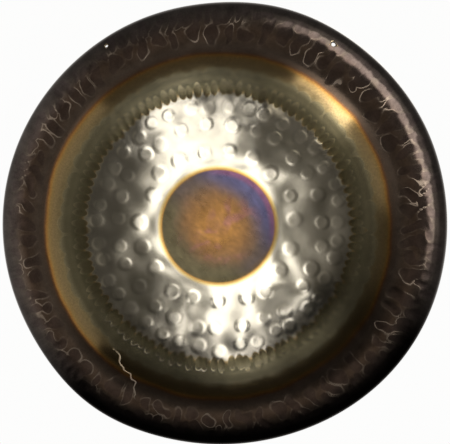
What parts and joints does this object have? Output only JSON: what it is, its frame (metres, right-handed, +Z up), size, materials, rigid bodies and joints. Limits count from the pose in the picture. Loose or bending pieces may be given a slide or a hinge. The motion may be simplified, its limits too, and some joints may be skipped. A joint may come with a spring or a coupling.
{
  "type": "tam tam gong",
  "caption": "Flat-faced hammered bronze gong with a smooth heat-tinted centre, a ground bright ring, dark oxide bands, a rounded shoulder, a turned-back rim and small cord holes near the top.",
  "frame": {"origin": "on the gong's axis, half-way through its depth, at the centre of its box", "axes": "+Z up as it hangs from its cord holes, the axis of the disc along Y, the face towards -Y and the open back towards +Y, +X to the right seen from the front"},
  "size_m": [0.559, 0.0484, 0.559],
  "materials": {
    "bronze": "hammered bronze alloy: ground and bright around the middle, brown to black oxide towards the rim"
  },
  "bodies": {
    "root": {"gong": "bronze"}
  },
  "joints": []
}
